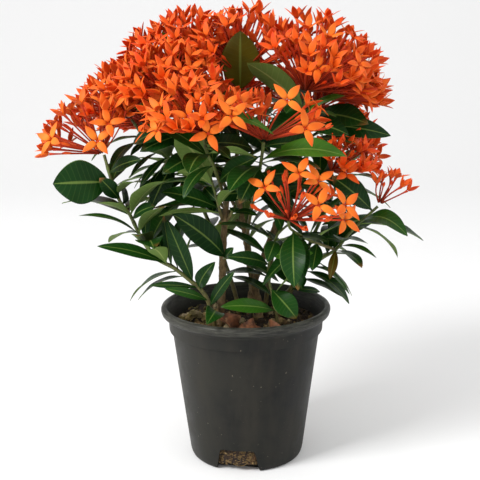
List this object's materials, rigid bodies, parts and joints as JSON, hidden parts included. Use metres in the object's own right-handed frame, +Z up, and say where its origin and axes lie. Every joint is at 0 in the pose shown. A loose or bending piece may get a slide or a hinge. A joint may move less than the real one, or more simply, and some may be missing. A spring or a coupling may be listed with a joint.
{
  "type": "potted flowering shrub",
  "caption": "Flowering ixora shrub with orange flower heads and glossy green leaves, growing in soil in a plain black nursery pot.",
  "frame": {"origin": "centre of the pot's flat base", "axes": "+Z up along the pot's axis, -Y towards the viewer, +X to the viewer's right"},
  "size_m": [0.3572, 0.2905, 0.4309],
  "materials": {
    "black_plastic": "satin",
    "soil": "matte",
    "bark": "matte",
    "leaf": "satin",
    "flower": "matte",
    "dry_leaf": "matte"
  },
  "bodies": {
    "root": {"pot": "black_plastic", "soil": "soil", "stem_left": "bark", "stem_middle": "bark", "stem_right": "bark", "shoot_a": "leaf", "shoot_b": "leaf", "shoot_c": "leaf", "shoot_d": "leaf", "shoot_e": "leaf", "shoot_f": "leaf", "shoot_g": "leaf", "shoot_h": "leaf", "shoot_j": "leaf", "shoot_k": "leaf", "shoot_l": "leaf", "shoot_m": "leaf", "shoot_n": "leaf", "shoot_p": "leaf", "shoot_q": "leaf", "shoot_r": "leaf", "shoot_top_left": "leaf", "shoot_top_right": "leaf", "shoot_low_left": "leaf", "shoot_front": "leaf", "head_a": "flower", "head_b": "flower", "head_c": "flower", "head_d": "flower", "head_e": "flower", "head_f": "flower", "head_g": "flower", "head_h": "flower", "head_j": "flower", "head_k": "flower", "head_l": "flower", "head_m": "flower", "head_n": "flower", "head_p": "flower", "head_q": "flower", "head_r": "flower", "dry_leaf_1": "dry_leaf", "dry_leaf_2": "dry_leaf", "dry_leaf_3": "dry_leaf"}
  },
  "joints": []
}
